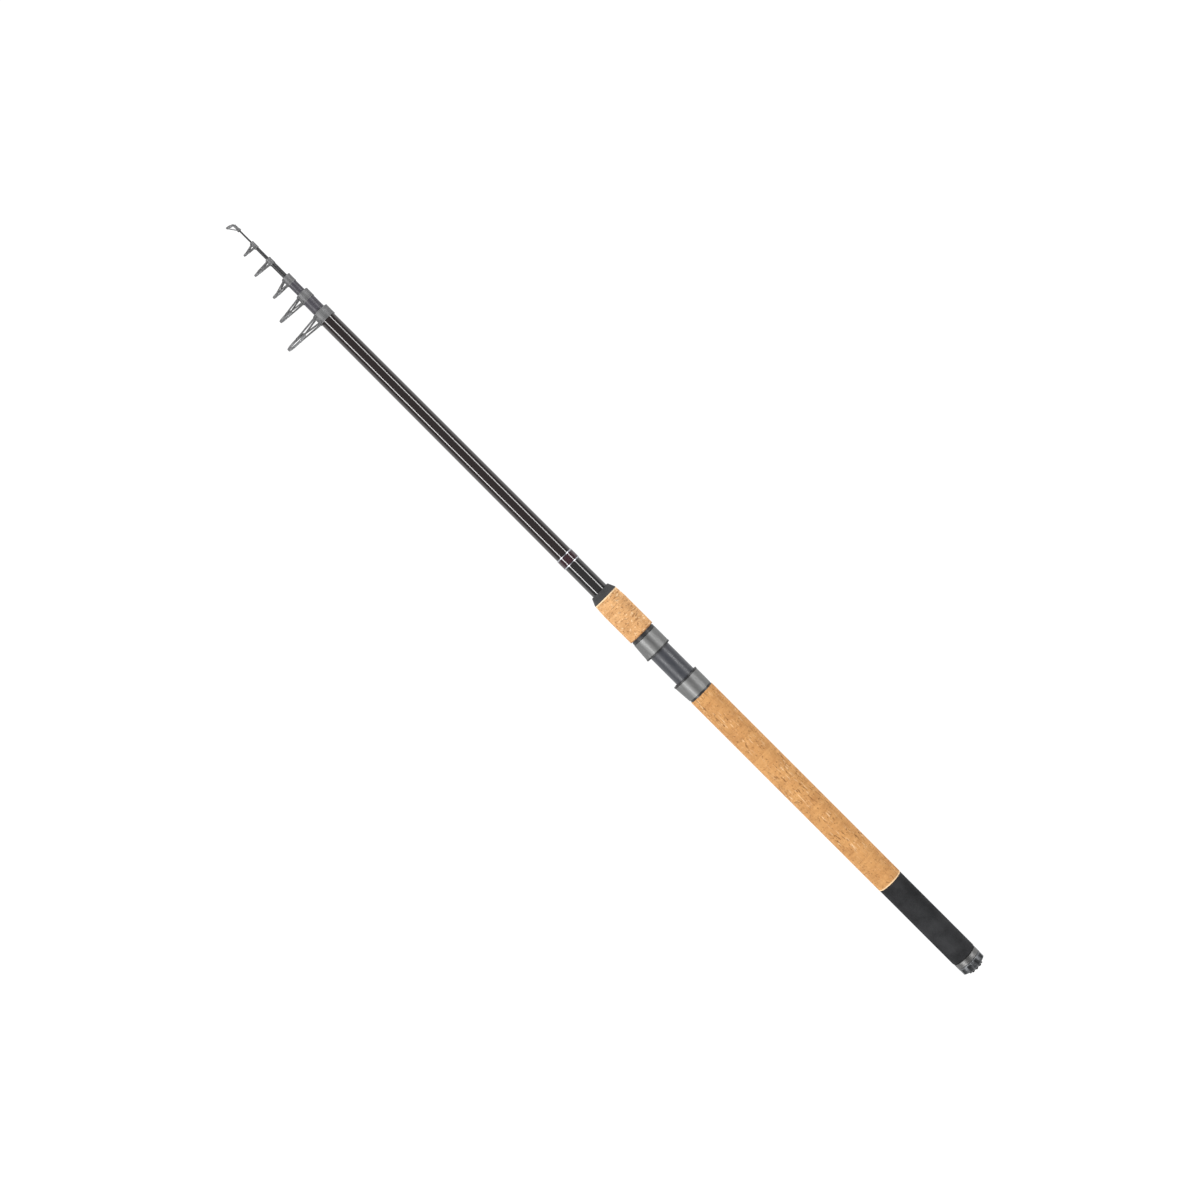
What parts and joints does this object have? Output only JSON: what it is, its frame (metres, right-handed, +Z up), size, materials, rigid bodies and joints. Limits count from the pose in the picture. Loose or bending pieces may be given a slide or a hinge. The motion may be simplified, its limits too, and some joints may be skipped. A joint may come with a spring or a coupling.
{
  "type": "telescopic fishing rod",
  "caption": "Closed telescopic fishing rod: nested tapered sections, collar guides, cork and foam grips, screw-down reel seat, fluted butt cap.",
  "frame": {"origin": "centre of the butt end pad's rear face, on the rod's axis", "axes": "+X along the rod from butt to tip, +Y the way the line guides and the reel pocket point, +Z up with the rod lying on its side"},
  "size_m": [1.1059, 0.0686, 0.0316],
  "materials": {
    "gloss_blank": "clear-coated carbon blank, deep brown-black",
    "satin_blank": "satin carbon blank, violet grey",
    "cork": "natural ring cork",
    "foam": "closed-cell foam, matt black",
    "hood_metal": "polished aluminium",
    "cap_metal": "turned aluminium",
    "barrel": "satin graphite grey",
    "black_plastic": "gloss black",
    "rubber": "matt black",
    "whipping": "dark maroon thread under varnish",
    "pale_trim": "pale silver",
    "guide_metal": "satin grey steel",
    "ring": "polished grey ceramic"
  },
  "bodies": {
    "butt_section": {"butt_blank": "gloss_blank", "butt_ferrule": "cap_metal", "butt_collar": "cap_metal", "rear_foam_grip": "foam", "rear_cork_grip": "cork", "rear_trim_ring": "black_plastic", "reel_seat_barrel": "barrel", "fixed_hood": "hood_metal", "fixed_hood_liner": "black_plastic", "band_whipping": "whipping", "band_trim_rings": "pale_trim", "guide_1_collar": "guide_metal", "guide_1_frame": "guide_metal", "guide_1_ring": "ring"},
    "section_2": {"section_2_blank": "satin_blank", "guide_2_collar": "guide_metal", "guide_2_frame": "guide_metal", "guide_2_ring": "ring"},
    "section_3": {"section_3_blank": "satin_blank", "guide_3_collar": "guide_metal", "guide_3_frame": "guide_metal", "guide_3_ring": "ring"},
    "section_4": {"section_4_blank": "satin_blank", "guide_4_collar": "guide_metal", "guide_4_frame": "guide_metal", "guide_4_ring": "ring"},
    "section_5": {"section_5_blank": "satin_blank", "guide_5_collar": "guide_metal", "guide_5_frame": "guide_metal", "guide_5_ring": "ring"},
    "tip_section": {"tip_blank": "satin_blank", "tip_top_tube": "guide_metal", "tip_top_frame": "guide_metal", "tip_top_ring": "ring"},
    "sliding_hood": {"sliding_hood": "hood_metal", "sliding_hood_liner": "black_plastic"},
    "foregrip": {"foregrip_nut": "black_plastic", "foregrip_trim_ring": "black_plastic", "foregrip_cork": "cork", "winding_check": "black_plastic"},
    "cap_cushion": {"cap_cushion": "rubber"},
    "butt_cap": {"butt_cap": "cap_metal", "cap_end_pad": "rubber"}
  },
  "joints": [
    {"name": "section_2_slide", "type": "slide", "parent": "butt_section", "child": "section_2", "axis": [1, 0, 0], "range_m": [0, 0.8741]},
    {"name": "section_3_slide", "type": "slide", "parent": "section_2", "child": "section_3", "axis": [1, 0, 0], "range_m": [0, 0.9059]},
    {"name": "section_4_slide", "type": "slide", "parent": "section_3", "child": "section_4", "axis": [1, 0, 0], "range_m": [0, 0.9399]},
    {"name": "section_5_slide", "type": "slide", "parent": "section_4", "child": "section_5", "axis": [1, 0, 0], "range_m": [0, 0.9765]},
    {"name": "tip_slide", "type": "slide", "parent": "section_5", "child": "tip_section", "axis": [1, 0, 0], "range_m": [0, 1.0107]},
    {"name": "hood_slide", "type": "slide", "parent": "butt_section", "child": "sliding_hood", "axis": [1, 0, 0], "range_m": [-0.008, 0.02]},
    {"name": "foregrip_turn", "type": "hinge", "parent": "sliding_hood", "child": "foregrip", "pos_m": [0.5, 0, 0], "axis": [1, 0, 0], "range_deg": [-1440, 3600]},
    {"name": "cap_slide", "type": "slide", "parent": "butt_section", "child": "cap_cushion", "axis": [-1, 0, 0], "range_m": [0, 0.0075]},
    {"name": "cap_turn", "type": "hinge", "parent": "cap_cushion", "child": "butt_cap", "pos_m": [0, 0, 0], "axis": [-1, 0, 0], "range_deg": [0, 1800]}
  ],
  "couplings": [
    {"joint": "hood_slide", "follows": "foregrip_turn", "m_per_rad": 0.0003183},
    {"joint": "cap_slide", "follows": "cap_turn", "m_per_rad": 0.0002387}
  ]
}
